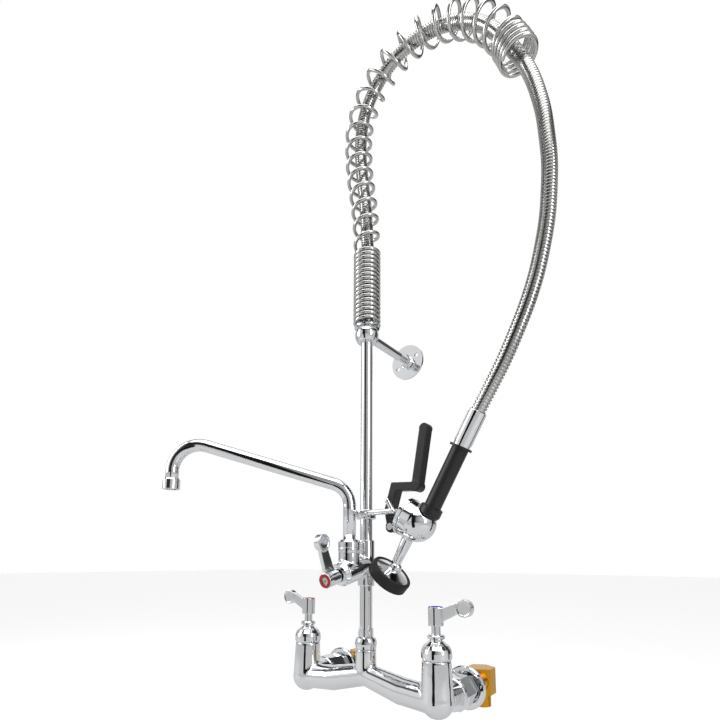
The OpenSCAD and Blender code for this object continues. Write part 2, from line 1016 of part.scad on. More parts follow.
// Where the coils are after a number of turns: centre, direction, radius
function coil_centre(n) =
    n < foot_turns ? [0, foot_start + (foot_end - foot_start) * n / foot_turns]
    : n < foot_turns + open_turns
        ? along(spring_route, (n - foot_turns) * (len(spring_route) - 1) / open_turns)
        : along(spring_tail, (n - foot_turns - open_turns) * (len(spring_tail) - 1) / tail_turns);
function coil_turn(n) =
    let (d = coil_centre(min(spring_turns, n + 0.1)) - coil_centre(max(0, n - 0.1)))
    atan2(d[0], d[1]);
function coil_radius(n) =
    coil_foot_r + (coil_end_r - coil_foot_r) * max(0, n - foot_turns) / (open_turns + tail_turns);
function wire_point(n) = coil_point(coil_centre(n), coil_turn(n), coil_radius(n), 360 * n);

function unit(v) = v / norm(v);
function wire_ring(n) =
    let (p = wire_point(n),
        t = unit(wire_point(n + 0.01) - wire_point(n - 0.01)),
        turn = coil_turn(n),
        out = unit(p - [coil_centre(n)[0], 0, coil_centre(n)[1]]),
        side = unit(cross(t, out)),
        up = cross(side, t))
    [for (k = [0 : wire_sides - 1])
        let (a = 360 * k / wire_sides)
        p + wire_r * (cos(a) * up + sin(a) * side)];

module overhead_spring() {
    color("gainsboro")
        translate([0, -setback, riser_top])
            skin([for (i = [0 : (spring_turns - 0.1) * wire_steps])
                wire_ring(0.02 + i / wire_steps)]);
}

module hose_nut() {
    color("silver")
        at_riser()
            difference() {
                union() {
                    rod(hose_seat_r, collar_z + collar_half, hose_foot - 1.6);
                    hexagon(10.5, hose_foot - 2, hose_foot);
                    rod(pipe_bore_r, collar_z, hose_foot);
                }
                rod(pipe_bore_r - 1.5, collar_z - 1, hose_foot + 1);
            }
}

// Spray valve

module hose_ferrule() {
    color("silver")
        at_spray()
            difference() {
                union() {
                    rod(ferrule_ring_r, grip_len, grip_len + ferrule_ring_h);
                    rod(ferrule_r, grip_len + ferrule_ring_h, ferrule_top - 1);
                    cone(ferrule_r, ferrule_r - 1, ferrule_top - 1, ferrule_top);
                }
                rod(shank_r, grip_len - 1, grip_len + 12);
                rod(shank_bore_r, grip_len, ferrule_top);
            }
}

module grip_sleeve() {
    color("dimgray")
        at_spray()
            difference() {
                union() {
                    rod(grip_r, flare_h - 1, grip_len);
                    cone(flare_r - 2, flare_r, 2, 5);
                    rod(flare_r, 5, flare_h - 1.5);
                    cone(flare_r, grip_r, flare_h - 1.5, flare_h);
                    rod(grip_flange_r, grip_len - grip_flange_t, grip_len);
                }
                rod(shank_r, 0, grip_len + 1);
            }
}

// Turn the local X axis of the drum into Z
module along_drum() {
    translate([0, 0, drum_z])
        rotate([0, -90, 0])
            children();
}

module spray_neck() {
    strut([neck_x, neck_low], [neck_x, neck_top], neck_r1, neck_r2);
}

module valve_body() {
    color("silver")
        at_spray()
            difference() {
                union() {
                    along_drum() {
                        rod(drum_r, -drum_back, -drum_x - cap_t);
                        translate([0, 0, -drum_back - 1])
                            sphere(r = drum_r - 0.5);
                    }
                    rod(shank_r, drum_z, grip_len + 12);
                    spray_neck();
                }
                rod(shank_bore_r, drum_z, grip_len + 13);
                rod(grip_r + 5, 2, flare_h);
                along_drum() {
                    rod(plug_r, -cavity_end, -drum_x);
                    rod(cap_r + 5, -drum_x - cap_t, -drum_x + 20);
                }
                strut([neck_x, neck_low - 1], [neck_x, neck_top - 4], 3.2, 3.2);
                strut([neck_x, neck_top - 4], [-19.5, -18], 3, 3);
            }
    color("silver")
        at_spray()
            tube(shank_r, shank_bore_r, 1, flare_h + 1);
}

module valve_cap() {
    front = -drum_x;
    color("silver")
        at_spray()
            difference() {
                union() {
                    along_drum() {
                        rod(cap_r, front - cap_t, front - 1.5);
                        cone(cap_r, cap_r - 2, front - 1.5, front);
                        rod(8, front - 1, front + 3);
                        rod(plug_r, front - cap_t - 2, front - cap_t + 1);
                        rod(stub_r, -seat_x, front);
                        rod(plug_r, -seat_x, -seat_x + 2);
                    }
                    rotate([90, 0, 0])
                        linear_extrude(height = 2 * lug_t, center = true)
                            bar([pivot_x, pivot_z], [-31, -28], 2 * lug_r);
                }
                along_drum() {
                    rod(plunger_r + 0.1, -seat_x - 1, front + 4);
                    for (turn = [0 : 60 : 300])
                        rotate(turn)
                            translate([6.9, 0, -seat_x - 1])
                                cylinder(r = 1.3, h = 4);
                }
                translate([pivot_x, 0, pivot_z])
                    rotate([90, 0, 0])
                        cylinder(r = pivot_r, h = 40, center = true);
            }
}

module valve_plunger() {
    color("gainsboro")
        at_spray()
            along_drum() {
                rod(plunger_r, -seat_x - poppet_t, plunger_tip);
                rod(poppet_r, -seat_x - poppet_t - poppet_gap, -seat_x - poppet_gap);
            }
}

module valve_spring() {
    low = -cavity_end + coil_wire_r + 0.1;
    high = -seat_x - poppet_t - poppet_gap - coil_wire_r - 0.1;
    color("gainsboro")
        at_spray()
            along_drum()
                skin([for (i = [0 : coil_turns * wire_steps])
                    let (a = 360 * i / wire_steps,
                        z = low + (high - low) * i / (coil_turns * wire_steps))
                    [for (k = [0 : wire_sides - 1])
                        let (b = 360 * k / wire_sides,
                            r = coil_r + coil_wire_r * cos(b))
                        [r * cos(a), r * sin(a), z + coil_wire_r * sin(b)]]]);
}

// Corner of a bent strip on the side given by w, where two stretches meet
function corner(a, b, c, w) =
    let (u = (b - a) / norm(b - a), v = (c - b) / norm(c - b), m = u + v)
    b + 2 * w * [-m[1], m[0]] / (m * m);
function square_end(a, b, w) =
    let (u = (b - a) / norm(b - a))
    a + w * [-u[1], u[0]];

// The limb bends twice between the pivot and the handle
module limb_outline() {
    p = concat([[pivot_x, pivot_z]], [for (i = [0 : 2]) lever_path[i]], [lever_path[3]]);
    w = limb_w / 2;
    left = [for (i = [1 : 3]) corner(p[i - 1], p[i], p[i + 1], w)];
    right = [for (i = [3 : -1 : 1]) corner(p[i - 1], p[i], p[i + 1], -w)];
    polygon(concat([square_end(p[0], p[1], w)], left, right, [square_end(p[0], p[1], -w)]));
}

module handle_outline() {
    w = handle_w / 2;
    p = lever_path[2];
    q = lever_path[3];
    polygon([square_end(p, q, w), 2 * q - square_end(q, p, w),
        2 * q - square_end(q, p, -w), square_end(p, q, -w)]);
}

module squeeze_lever() {
    color("dimgray")
        at_spray()
            rotate([90, 0, 0])
                difference() {
                    union() {
                        linear_extrude(height = 2 * lever_t, center = true)
                            limb_outline();
                        linear_extrude(height = 2 * handle_t, center = true)
                            handle_outline();
                        cross_pin([pivot_x, pivot_z], lug_r + 1.2, 2 * lever_t);
                        cross_pin(lever_path[2], handle_w / 2 + 0.6, 2 * lever_t);
                        cross_pin(lever_path[3], handle_w / 2 + 0.4, 2 * handle_t);
                    }
                    cross_pin([pivot_x, pivot_z], lug_r + 5.5, 2 * lug_t + 0.6);
                    cross_pin([pivot_x, pivot_z], pivot_r + 0.05, 40);
                }
}

module cross_pin(p, r, h) {
    translate([p[0], p[1], 0])
        cylinder(r = r, h = h, center = true);
}

module pivot_screw() {
    color("gainsboro")
        at_spray()
            translate([pivot_x, 0, pivot_z])
                rotate([90, 0, 0])
                    difference() {
                        union() {
                            rod(pivot_r, -lever_t - 1, lever_t + 0.3);
                            rod(pivot_head_r, lever_t + 0.3, lever_t + 2.5);
                        }
                        translate([0, 0, lever_t + 2.5])
                            cube([6, 1.2, 1.6], center = true);
                    }
}

// Head: Z = 0 is the bumper's back rim and -Z is the way the water leaves
module spray_head() {
    color("silver")
        difference() {
            at_head() {
                rotate_extrude()
                    polygon([[0, dish_rise], [6.5, dish_rise], [8, dish_rise - 2],
                        [dish_r - 3, 0], [dish_r, -1], [dish_r, -bumper_h + 1],
                        [dish_r - dish_t, -bumper_h + 1], [dish_r - dish_t, -dish_t - 1],
                        [8, dish_rise - dish_t - 2.5], [0, dish_rise - dish_t - 2.5]]);
                rod(5, -face_sink, dish_rise - dish_t - 1);
                translate([0, 0, dish_rise])
                    sphere(r = 7.8);
            }
            at_head()
                rod(3, -face_sink - 1, dish_rise);
            at_spray()
                spray_neck();
        }
}

module spray_bumper() {
    color("dimgray")
        at_head()
            rotate_extrude()
                polygon([[dish_r, -1.2], [dish_r, -bumper_h], [bumper_r - 1, -bumper_h],
                    [bumper_r, -bumper_h + 1], [bumper_r, -2.5], [bumper_r - 0.6, -0.8],
                    [bumper_r - 2, 0], [dish_r + 1, 0]]);
}

module spray_face() {
    color("gainsboro")
        at_head()
            difference() {
                rod(face_r + 0.3, -face_sink, -face_sink + face_t);
                rod(5, -face_sink - 1, -face_sink + face_t + 1);
                for (ring = [[9.5, 8], [14, 12], [18, 16]])
                    for (i = [0 : ring[1] - 1])
                        rotate(360 * i / ring[1])
                            translate([ring[0], 0, -face_sink - 1])
                                cylinder(r = jet_r, h = face_t + 2, $fn = 16);
            }
}

base_body();
seat_washers();
at_valve(-1) dome_bonnet();  // hot_bonnet
at_valve(-1) cartridge(base_cart_depth, bonnet_h);  // hot_cartridge
at_valve(-1) gland_nut(bonnet_h, gland_h);  // hot_gland_nut
at_valve(-1) stem(base_cart_depth, bonnet_h + gland_h, base_hub_z);  // hot_stem
at_valve(-1) lever(base_hub_z, base_reach, 22);  // hot_lever
at_valve(-1) color("red") index_ring(base_hub_z);  // hot_index_ring
at_valve(-1) lever_screw(base_hub_z);  // hot_lever_screw
at_valve(1) dome_bonnet();  // cold_bonnet
at_valve(1) cartridge(base_cart_depth, bonnet_h);  // cold_cartridge
at_valve(1) gland_nut(bonnet_h, gland_h);  // cold_gland_nut
at_valve(1) stem(base_cart_depth, bonnet_h + gland_h, base_hub_z);  // cold_stem
at_valve(1) lever(base_hub_z, base_reach, 22);  // cold_lever
at_valve(1) color("blue") index_ring(base_hub_z);  // cold_index_ring
at_valve(1) lever_screw(base_hub_z);  // cold_lever_screw
union_washers();
both_inlets() coupling_nut();  // coupling_nuts
at_inlet(-1) nipple();  // hot_nipple
at_inlet(1) nipple();  // cold_nipple
both_inlets() wall_flange();  // wall_flanges
both_inlets() inlet_locknut();  // inlet_locknuts
at_inlet(-1) elbow();  // hot_elbow
at_inlet(1) elbow();  // cold_elbow
hub_nut();
riser_gasket();
riser_lower();
riser_upper();
riser_collar();
addon_body();
at_addon_face() low_bonnet();  // addon_bonnet
at_addon_face() cartridge(addon_cart_depth, low_bonnet_h);  // addon_cartridge
at_addon_face() stem(addon_cart_depth, low_bonnet_h + low_gland_h, addon_hub_z);  // addon_stem
at_addon_face() lever(addon_hub_z, addon_reach, 16.7);  // addon_lever
at_addon_face() color("red") index_ring(addon_hub_z);  // addon_index_ring
at_addon_face() lever_screw(addon_hub_z);  // addon_lever_screw
spout_nut();
spout_foot();
spout_tube();
spout_orings();
spout_nozzle();
bracket_rod();
bracket_locknut();
bracket_flange();
finger_hook();
hook_set_screw();
hose_nut();
hose();
overhead_spring();
hose_ferrule();
valve_body();
valve_cap();
valve_plunger();
valve_spring();
grip_sleeve();
squeeze_lever();
pivot_screw();
spray_head();
spray_bumper();
spray_face();
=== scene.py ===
# %% [markdown]
# # A wall mounted pre rinse faucet
# A pre rinse faucet stands on two wall inlets. Two lever valves feed a riser pipe, a coil spring
# holds up a metal hose, and a squeeze valve hangs on a finger hook. A second, smaller faucet with
# a swing spout is fitted into the riser.
# The exact shapes come from the CAD frame. This script gives every piece its finish, and makes
# again the pieces that a plain CAD solid can't show: castings with soft corners, the hose with
# its interlocked rings, the wound spring and the bent spout.

# %% Load the frame
import bpy, json, math
from mathutils import Matrix, Vector

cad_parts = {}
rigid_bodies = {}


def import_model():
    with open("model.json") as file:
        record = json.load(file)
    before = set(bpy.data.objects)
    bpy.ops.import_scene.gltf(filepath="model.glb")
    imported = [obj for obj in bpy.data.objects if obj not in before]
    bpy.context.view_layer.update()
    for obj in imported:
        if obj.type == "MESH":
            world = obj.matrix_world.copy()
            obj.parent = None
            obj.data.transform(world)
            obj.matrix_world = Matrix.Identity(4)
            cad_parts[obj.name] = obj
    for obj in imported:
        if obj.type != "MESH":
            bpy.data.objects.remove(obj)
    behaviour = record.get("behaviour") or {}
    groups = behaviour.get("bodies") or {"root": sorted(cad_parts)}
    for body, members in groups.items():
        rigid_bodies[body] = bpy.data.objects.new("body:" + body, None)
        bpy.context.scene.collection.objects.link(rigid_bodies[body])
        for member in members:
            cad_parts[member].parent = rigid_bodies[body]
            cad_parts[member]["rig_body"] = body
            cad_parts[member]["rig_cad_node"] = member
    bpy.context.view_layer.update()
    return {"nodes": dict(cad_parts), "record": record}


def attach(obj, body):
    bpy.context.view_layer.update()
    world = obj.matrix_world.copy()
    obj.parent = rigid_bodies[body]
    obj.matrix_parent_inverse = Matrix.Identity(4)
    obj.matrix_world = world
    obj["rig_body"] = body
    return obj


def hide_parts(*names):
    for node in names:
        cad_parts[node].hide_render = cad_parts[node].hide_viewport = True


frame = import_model()
nodes = frame["nodes"]


# %% [markdown]
# ## Camera and studio
# The camera stands low, to the right of the faucet, and looks slightly up. Chrome shows little of
# its own: it shows the room. So the room is a pale tent with a few dark panels, which give each
# pipe its dark lines. The low pieces mirror the floor instead of the tent, so two black cards
# stand there for them, and only reflections show those. The camera itself sees a plain white
# backdrop, and the floor looks paler to it than it does in the metal.

# %% Camera
def aim(direction_deg, pitch_deg, roll_deg):
    turn = Matrix.Rotation(math.radians(direction_deg), 4, "Z")
    lift = Matrix.Rotation(math.radians(90 + pitch_deg), 4, "X")
    return turn @ lift @ Matrix.Rotation(math.radians(roll_deg), 4, "Z")


lens = bpy.data.cameras.new("view")
lens.sensor_width = 36
lens.lens = 23.41
lens.shift_x = -0.0006
lens.shift_y = 0.177
lens.clip_start = 0.02
camera = bpy.data.objects.new("view", lens)
bpy.context.scene.collection.objects.link(camera)
camera.matrix_world = Matrix.Translation((0.3704, -0.58614, 0.1584)) @ aim(36.83, 8.94, 0.31)
bpy.context.scene.camera = camera
print("camera at", [round(c, 3) for c in camera.location])


# %% Colour and shader helpers
def hex_colour(text):
    """An sRGB hex value as linear red, green and blue."""
    parts = [int(text[i:i + 2], 16) / 255 for i in (1, 3, 5)]
    return [c / 12.92 if c <= 0.04045 else ((c + 0.055) / 1.055) ** 2.4 for c in parts] + [1]


def add(tree, kind, links=(), **settings):
    """Adds a shader node, sets its sockets and properties by name, and links its inputs."""
    node = tree.nodes.new("ShaderNode" + kind)
    for name, value in settings.items():
        if hasattr(node, name):
            setattr(node, name, value)
        else:
            node.inputs[name.replace("_", " ")].default_value = value
    for socket, source in dict(links).items():
        tree.links.new(source, node.inputs[socket])
    return node


# %% The room
world = bpy.data.worlds.new("tent")
bpy.context.scene.world = world
world.use_nodes = True
sky = world.node_tree
sky.nodes.clear()


def grey_ramp(value, first, last, between):
    """Greys along a value from 0 to 1, each given with its place."""
    ramp = add(sky, "ValToRGB", {"Fac": value})
    ramp.color_ramp.interpolation = "EASE"
    for end, grey in ((0, first), (1, last)):
        ramp.color_ramp.elements[end].position = end
        ramp.color_ramp.elements[end].color = (grey, grey, grey, 1)
    for spot, grey in between:
        ramp.color_ramp.elements.new(spot).color = (grey, grey, grey, 1)
    return ramp


# Panels stand round the room, and shades lie above one another from the floor to the ceiling
place = add(sky, "TexCoord")
toward = add(sky, "SeparateXYZ", {"Vector": place.outputs["Generated"]})
bearing = add(sky, "Math", {0: toward.outputs["Y"], 1: toward.outputs["X"]}, operation="ARCTAN2")
round_the_room = add(sky, "MapRange", {"Value": bearing.outputs["Value"]})
round_the_room.inputs["From Min"].default_value = -math.pi
round_the_room.inputs["From Max"].default_value = math.pi
panels = grey_ramp(round_the_room.outputs["Result"], 0.25, 0.25, (
    (0.03, 0.75), (0.12, 1.0), (0.21, 0.80), (0.245, 0.03), (0.285, 0.02), (0.32, 0.35),
    (0.40, 0.65), (0.49, 0.95), (0.58, 0.60), (0.63, 0.08), (0.66, 0.05), (0.70, 0.50),
    (0.80, 0.95), (0.96, 0.80)))
height = add(sky, "MapRange", {"Value": toward.outputs["Z"]})
height.inputs["From Min"].default_value = -1.0
height.inputs["From Max"].default_value = 1.0
shades = grey_ramp(height.outputs["Result"], 0.5, 0.9, (
    (0.50, 0.75), (0.60, 1.0), (0.77, 1.0), (0.82, 0.12), (0.86, 0.08), (0.92, 1.0)))
both = add(sky, "Mix", data_type="RGBA", blend_type="MULTIPLY")
both.inputs["Factor"].default_value = 1.0
sky.links.new(panels.outputs["Color"], both.inputs[6])
sky.links.new(shades.outputs["Color"], both.inputs[7])
room = add(sky, "Background", {"Color": both.outputs[2]}, Strength=0.9)
backdrop = add(sky, "Background", Strength=1.0)
backdrop.inputs["Color"].default_value = (1, 1, 1, 1)
seen = add(sky, "LightPath")
light = add(sky, "MixShader", {0: seen.outputs["Is Camera Ray"], 1: room.outputs["Background"],
                               2: backdrop.outputs["Background"]})
add(sky, "OutputWorld", {"Surface": light.outputs["Shader"]})
bpy.context.scene.view_settings.view_transform = "Standard"
print("tent ready")


# %% Lamps, backdrop and floor
def softbox(name, spot, target, width, height, power):
    """A rectangular lamp that faces a target; width and height in metres, power in watts."""
    data = bpy.data.lights.new(name, "AREA")
    data.shape = "RECTANGLE"
    data.size, data.size_y, data.energy = width, height, power
    lamp = bpy.data.objects.new(name, data)
    bpy.context.scene.collection.objects.link(lamp)
    lamp.location = spot
    lamp.rotation_euler = (Vector(target) - Vector(spot)).to_track_quat("-Z", "Y").to_euler()


softbox("left_box", (-1.3, -1.1, 1.1), (0, 0, 0.4), 0.4, 1.6, 12)
softbox("right_box", (1.5, -0.4, 0.9), (0, 0, 0.4), 0.3, 1.5, 8)
overhead = bpy.data.lights.new("overhead_silk", "SUN")
overhead.energy, overhead.angle = 1.9, math.radians(60)
silk = bpy.data.objects.new("overhead_silk", overhead)
bpy.context.scene.collection.objects.link(silk)
silk.rotation_euler = (math.radians(14), math.radians(8), 0)
bpy.ops.object.select_all(action="DESELECT")
bpy.ops.mesh.primitive_plane_add(size=30, location=(0, 0, -0.22))
floor = bpy.context.object
floor.name = "floor"
pale = bpy.data.materials.new("white_paper_floor")
pale.use_nodes = True
# Matt paper: mid grey to the metal that mirrors it, nearly white to the camera
paper = pale.node_tree.nodes["Principled BSDF"]
near_ray = add(pale.node_tree, "LightPath")
tone = add(pale.node_tree, "Mix", {0: near_ray.outputs["Is Camera Ray"]}, data_type="RGBA")
tone.inputs[6].default_value = hex_colour("#c4c4c4")
tone.inputs[7].default_value = hex_colour("#f8f8f8")
pale.node_tree.links.new(tone.outputs[2], paper.inputs["Base Color"])
paper.inputs["Roughness"].default_value = 0.9
floor.data.materials.append(pale)
print("two softboxes, an overhead silk and a floor")


# %% Black cards
# Dull black paper gives back almost no light, so each card shows in the chrome as a dark stripe
flag_black = bpy.data.materials.new("black_flag_card")
flag_black.use_nodes = True
card_paint = flag_black.node_tree.nodes["Principled BSDF"]
card_paint.inputs["Base Color"].default_value = hex_colour("#0a0a0a")
card_paint.inputs["Roughness"].default_value = 1.0


def black_card(name, spot, turn_deg, width, height):
    """A black card that only reflections show."""
    bpy.ops.object.select_all(action="DESELECT")
    bpy.ops.mesh.primitive_plane_add(size=1, location=spot,
                                     rotation=(math.pi / 2, 0, math.radians(turn_deg)))
    flag = bpy.context.object
    flag.name = name
    flag.scale = (width, height, 1)
    flag.data.materials.append(flag_black)
    flag.visible_camera = flag.visible_shadow = flag.visible_diffuse = False


black_card("front_card", (0.12, -0.80, 0.3), 4, 0.24, 1.04)
black_card("side_card", (0.62, 0.36, 0.3), 128, 0.14, 1.04)
print("two black cards")


# %% [markdown]
# ## The hose
# A pre rinse hose is a soft tube inside a stainless jacket wound from a folded strip, so its
# outside is a row of rings about 4 mm apart that slide in each other. One ring is modelled as a
# short ribbed tube, an Array modifier repeats it, and a Curve modifier bends the row along the
# route. That keeps every ring square to the hose, as on the real one.

# %% Route of the hose
riser_plane = -0.078
riser_top = 0.467
hose_points = [
    (0, 24), (0, 80), (1, 140), (-3, 213), (-10, 276), (-13, 325), (-8, 370), (8, 405),
    (35, 432), (68, 446), (103, 446), (136, 436), (170, 412), (193, 386), (211, 356),
    (225, 326), (237, 298), (246, 269), (252, 240), (256, 213), (258, 182), (259, 149),
    (257, 116), (253, 80), (246, 46), (237, 13), (225, -19), (210, -51), (195, -80),
    (180, -105), (162.46, -133.22)]


def smooth_point(route, u):
    """Point on the smooth curve through the route, u counted in points."""
    i = min(len(route) - 2, int(u))
    t = u - i
    a, b, c, d = (Vector(route[max(0, min(len(route) - 1, i + k))]) for k in (-1, 0, 1, 2))
    return 0.5 * (2 * b + (c - a) * t + (2 * a - 5 * b + 4 * c - d) * t * t
                  + (3 * b - a - 3 * c + d) * t ** 3)


def in_row(p):
    """A route point in millimetres, as a point of the frame in metres."""
    return Vector((p[0] / 1000, riser_plane, riser_top + p[1] / 1000))


steps_between = 8
hose_line = [in_row(smooth_point(hose_points, i / steps_between))
             for i in range(steps_between * (len(hose_points) - 1) + 1)]
hose_length = sum((b - a).length for a, b in zip(hose_line, hose_line[1:]))
print("hose is", round(hose_length, 4), "m long")


# %% A line that modifiers and tubes can follow
def curve_along(name, points, thickness=0, sides=8):
    """A line through the points, with a round section where a thickness is given."""
    data = bpy.data.curves.new(name, "CURVE")
    data.dimensions = "3D"
    data.twist_mode = "MINIMUM"
    data.bevel_depth = thickness
    data.bevel_resolution = (sides - 4) // 2
    data.use_fill_caps = True
    line = data.splines.new("POLY")
    line.points.add(len(points) - 1)
    for point, place_now in zip(line.points, points):
        point.co = (*place_now, 1)
    thing = bpy.data.objects.new(name, data)
    bpy.context.scene.collection.objects.link(thing)
    return thing


def only(thing):
    """Makes one object the only selected and active one."""
    bpy.ops.object.select_all(action="DESELECT")
    thing.select_set(True)
    bpy.context.view_layer.objects.active = thing
    return thing


# %% One ring of the jacket, then the whole hose
ring_pitch = hose_length / round(hose_length / 0.004)
groove_radius, crest_radius = 0.0077, 0.0091
groove, flank, crest = 0.34, 0.12, 0.42  # shares of one ring's length; it has two flanks
bpy.ops.object.select_all(action="DESELECT")
bpy.ops.mesh.primitive_cylinder_add(vertices=32, radius=groove_radius, depth=ring_pitch * groove,
                                    end_fill_type="NOTHING", rotation=(0, math.pi / 2, 0))
hose = bpy.context.object
hose.name = "interlocked_hose"
bpy.ops.object.transform_apply(location=True, rotation=True, scale=True)
bpy.ops.object.mode_set(mode="EDIT")
bpy.ops.mesh.select_all(action="SELECT")
bpy.ops.transform.translate(value=(ring_pitch * groove / 2, 0, 0))
for length, radius in ((flank, crest_radius), (crest, crest_radius), (flank, groove_radius)):
    bpy.ops.mesh.select_all(action="DESELECT")
    bpy.ops.object.mode_set(mode="OBJECT")
    edge = max(v.co.x for v in hose.data.vertices)
    for v in hose.data.vertices:
        v.select = abs(v.co.x - edge) < 1e-6
    now = max(math.hypot(v.co.y, v.co.z) for v in hose.data.vertices if v.select)
    bpy.ops.object.mode_set(mode="EDIT")
    bpy.ops.mesh.select_mode(type="VERT")
    bpy.ops.mesh.extrude_region_move(TRANSFORM_OT_translate={"value": (ring_pitch * length, 0, 0)})
    bpy.ops.transform.resize(value=(1, radius / now, radius / now),
                             center_override=(edge + ring_pitch * length, 0, 0))
bpy.ops.object.mode_set(mode="OBJECT")
row = hose.modifiers.new("rings", "ARRAY")
row.count = round(hose_length / ring_pitch)
row.use_merge_vertices = True
row.merge_threshold = 0.0001
hose_curve = curve_along("hose_route", hose_line)
bend = hose.modifiers.new("route", "CURVE")
bend.object = hose_curve
bend.deform_axis = "POS_X"
only(hose)
bpy.ops.object.modifier_apply(modifier="rings")
bpy.ops.object.modifier_apply(modifier="route")
bpy.ops.object.mode_set(mode="EDIT")
bpy.ops.mesh.select_all(action="DESELECT")
bpy.ops.mesh.select_mode(type="EDGE")
bpy.ops.mesh.select_non_manifold(extend=False)
bpy.ops.mesh.fill_holes(sides=64)
bpy.ops.mesh.select_all(action="SELECT")
bpy.ops.mesh.normals_make_consistent(inside=False)
bpy.ops.object.mode_set(mode="OBJECT")
bpy.ops.object.shade_smooth_by_angle(angle=math.radians(50))
bpy.data.objects.remove(hose_curve)
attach(hose, "faucet")
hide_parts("hose")
print("hose has", round(hose_length / ring_pitch), "rings,",
      len(hose.data.polygons), "faces")


# %% [markdown]
# ## The overhead spring
# A long coil of 5 mm wire stands on the riser. Its foot is wound close, and the rest opens as it
# arches over and carries the hose. A wound wire is best made as a line first, with many points to
# a turn, and then given its thickness by the curve's bevel. The turns grow wider towards the tip.

# %% Spring
spring_points = [(0, 137), (-1, 165), (-3, 193), (-6, 220), (-10, 248), (-14, 275), (-16, 303),
                 (-17, 331), (-15, 358), (-6, 385), (8, 409), (28, 428), (52, 442), (79, 449),
                 (106, 448), (133, 441), (157, 427), (178, 409), (196, 387), (210, 363), (221, 338)]
tail_points = [(221, 338), (227, 323), (232, 308)]
foot_turns, open_turns, tail_turns = 17, 20, 4
foot_low, foot_high = 25, 137
foot_radius, tip_radius = 17.2, 22.2
wire_radius = 0.0026
points_per_turn = 40
all_turns = foot_turns + open_turns + tail_turns


def coil_centre(n):
    """Middle of the coil after n turns, in millimetres from the top of the riser."""
    if n < foot_turns:
        return Vector((0, foot_low + (foot_high - foot_low) * n / foot_turns))
    if n < foot_turns + open_turns:
        return smooth_point(spring_points, (n - foot_turns) * (len(spring_points) - 1) / open_turns)
    past_open = n - foot_turns - open_turns
    return smooth_point(tail_points, past_open * (len(tail_points) - 1) / tail_turns)


def wire_point(n):
    """Where the wire runs after n turns, in metres."""
    ahead, behind = coil_centre(min(all_turns, n + 0.1)), coil_centre(max(0, n - 0.1))
    turn = math.atan2(ahead[0] - behind[0], ahead[1] - behind[1])
    opened = max(0, n - foot_turns) / (open_turns + tail_turns)
    radius = foot_radius + (tip_radius - foot_radius) * opened
    c, a = coil_centre(n), 2 * math.pi * n
    flat = in_row((c[0] + radius * math.cos(a) * math.cos(turn),
                   c[1] - radius * math.cos(a) * math.sin(turn)))
    return flat + Vector((0, radius * math.sin(a) / 1000, 0))


def solid_from(curve):
    """Turns a line with thickness into a smooth mesh."""
    only(curve)
    bpy.ops.object.convert(target="MESH")
    bpy.ops.object.shade_smooth_by_angle(angle=math.radians(40))
    return bpy.context.object


wire = [wire_point(0.02 + i / points_per_turn)
        for i in range(int(points_per_turn * (all_turns - 0.1)))]
spring = solid_from(curve_along("overhead_coil", wire, wire_radius, 12))
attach(spring, "faucet")
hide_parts("overhead_spring")
print("spring has", len(spring.data.polygons), "faces")


# %% [markdown]
# ## The swing spout
# The spout is one drawn tube, bent twice. A tube like this is a line with a round section, so it
# is made from the same kind of line as the spring, with its bends as true arcs, and hollow at
# its end because the nozzle shows the inside.

# %% Spout
outlet = Vector((0, -0.1145, 0))
climb = math.radians(16.6)
bend_z, reach, neck_r, bend_r = 0.251, 0.2345, 0.034, 0.030
tube_radius, tube_wall = 0.0083, 0.002
bend_steps, neck_steps = 16, 24
first_turn, second_turn = math.pi / 2 - climb, math.pi / 2 + climb
leg = bend_r * math.tan(first_turn / 2)
run_end = reach - neck_r * (1 + math.sin(climb))
tip_z = bend_z + run_end * math.tan(climb) - neck_r * math.cos(climb)
flat_line = [(0, 0.1785)]
for i in range(bend_steps + 1):
    a = first_turn * i / bend_steps
    flat_line.append((bend_r * (1 - math.cos(a)), bend_z - leg + bend_r * math.sin(a)))
for i in range(neck_steps + 1):
    a = first_turn + second_turn * i / neck_steps
    flat_line.append((reach - neck_r - neck_r * math.cos(a), tip_z + neck_r * math.sin(a)))
flat_line.append((reach, tip_z - 0.022))
heading = math.radians(-145)
spout_line = [outlet + Vector((s * math.cos(heading), s * math.sin(heading), z))
              for s, z in flat_line]
spout_curve = curve_along("spout_arm", spout_line, tube_radius, 32)
spout_curve.data.use_fill_caps = False
spout = solid_from(spout_curve)
wall = spout.modifiers.new("tube_wall", "SOLIDIFY")
wall.thickness = tube_wall
wall.offset = -1
only(spout)
bpy.ops.object.modifier_apply(modifier="tube_wall")
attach(spout, "swing_spout")
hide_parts("spout_tube")
print("spout has", len(spout.data.polygons), "faces")


# %% [markdown]
# ## Castings and moulded pieces
# The valve body, the add-on faucet, the levers and the plastic squeeze lever are cast or moulded,
# so no two of their faces meet in a sharp corner. A bevel can't round where two round shapes run
# into each other. A voxel remesh turns the shape into one even skin, and a Smooth modifier then
# lets each inside and outside corner sink into a soft fillet, as metal that ran into a mould does.

